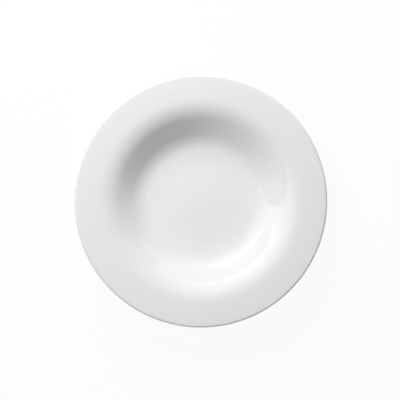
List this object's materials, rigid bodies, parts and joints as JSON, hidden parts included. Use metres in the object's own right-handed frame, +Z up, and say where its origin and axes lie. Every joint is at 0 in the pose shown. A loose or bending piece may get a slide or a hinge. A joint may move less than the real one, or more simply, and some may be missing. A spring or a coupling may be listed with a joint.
{
  "type": "pasta plate",
  "caption": "Round deep pasta plate of glossy white porcelain with a broad, softly curved rim, a wide dished well and a bare foot ring to stand on.",
  "frame": {"origin": "centre of the foot ring, in the plane of its standing edge, where the plate meets the table", "axes": "+Z up along the plate's axis, out of the well; the plate is round, so X and Y are any two level directions"},
  "size_m": [0.3, 0.3, 0.042],
  "materials": {
    "bare_porcelain": "matte, unglazed, ground smooth on the standing edge",
    "glaze": "glossy transparent glaze over white porcelain"
  },
  "bodies": {
    "root": {"porcelain_body": "bare_porcelain", "glaze_coat": "glaze", "foot_well_glaze": "glaze"}
  },
  "joints": []
}
